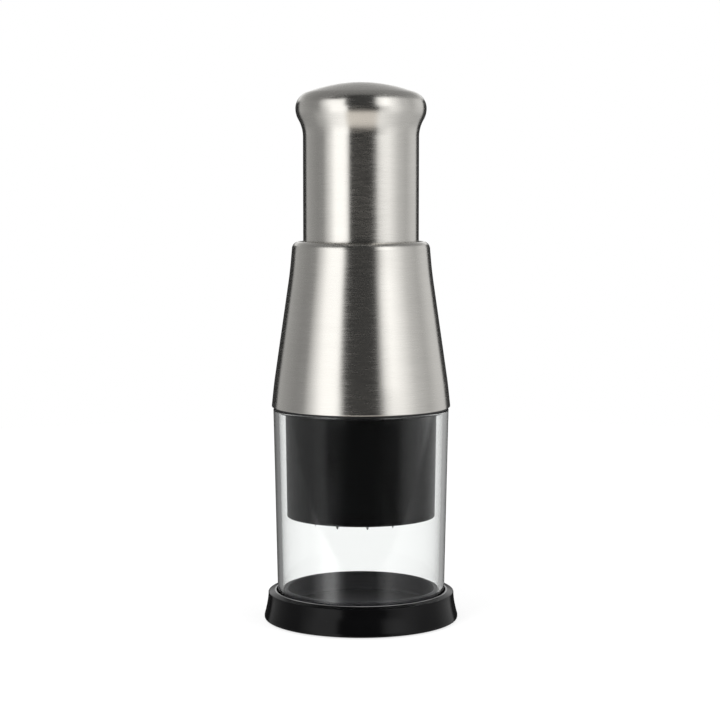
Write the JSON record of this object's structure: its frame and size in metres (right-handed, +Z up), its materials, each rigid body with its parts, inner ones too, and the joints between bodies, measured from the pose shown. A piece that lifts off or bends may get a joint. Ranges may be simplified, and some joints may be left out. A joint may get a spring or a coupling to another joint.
{
  "type": "plunger food chopper",
  "caption": "Upright press-down food chopper: domed steel handle, tapered steel head, black blade guard inside a clear cup, and a low black tray.",
  "frame": {"origin": "centre of the bottom of the whole object: on the table, under the middle of the tray", "axes": "+Z up along the axis of the handle, cup and tray; the picture is taken from -Y"},
  "size_m": [0.059, 0.059, 0.1626],
  "materials": {
    "brushed_steel": "fine brushing round the axis, satin",
    "gloss_black": "moulded, semi-gloss",
    "clear_cup": "clear moulded plastic",
    "inner_black": "moulded, fine matt grain",
    "white_bearing": "smooth moulded bearing plastic",
    "blade_steel": "ground strip with a bevelled edge",
    "zinc_steel": "plated",
    "rubber": "matt"
  },
  "bodies": {
    "tray": {"base_tray": "gloss_black", "foot_ring": "rubber"},
    "jar": {"cup": "clear_cup"},
    "head": {"head_frame": "inner_black", "cone_cover": "brushed_steel", "guide_ring": "inner_black", "guide_bush": "white_bearing", "bush_screws": "zinc_steel", "return_spring": "zinc_steel"},
    "plunger": {"press_cap": "brushed_steel", "cap_core": "inner_black", "stop_ring": "inner_black", "bumper_ring": "rubber", "spring_washer": "zinc_steel"},
    "cutter": {"press_shaft": "zinc_steel", "shaft_washer": "zinc_steel", "shaft_screw": "zinc_steel", "blade_hub": "inner_black", "blade_1": "blade_steel", "blade_2": "blade_steel", "blade_3": "blade_steel", "hub_screw": "zinc_steel"},
    "guard": {"blade_guard": "gloss_black"},
    "wiper": {"wiper_disc": "inner_black"}
  },
  "joints": [
    {"name": "cup_lift", "type": "slide", "parent": "tray", "child": "jar", "axis": [0, 0, 1], "range_m": [0, 0.02]},
    {"name": "head_lift", "type": "slide", "parent": "jar", "child": "head", "axis": [0, 0, 1], "range_m": [0, 0.045]},
    {"name": "press", "type": "slide", "parent": "head", "child": "plunger", "axis": [0, 0, -1], "range_m": [0, 0.026], "stiffness_N_per_m": 400, "springref_m": -0.012, "deforming": ["return_spring"]},
    {"name": "blade_turn", "type": "hinge", "parent": "plunger", "child": "cutter", "pos_m": [0, 0, 0.1], "axis": [0, 0, 1], "range_deg": [0, 40]},
    {"name": "guard_twist", "type": "hinge", "parent": "head", "child": "guard", "pos_m": [0, 0, 0.07], "axis": [0, 0, 1], "range_deg": [0, 22]},
    {"name": "wiper_turn", "type": "hinge", "parent": "head", "child": "wiper", "pos_m": [0, 0, 0.0336], "axis": [0, 0, 1], "range_deg": [0, 40]}
  ],
  "couplings": [
    {"joint": "blade_turn", "follows": "press", "rad_per_m": 26.851},
    {"joint": "wiper_turn", "follows": "press", "rad_per_m": 26.851}
  ]
}
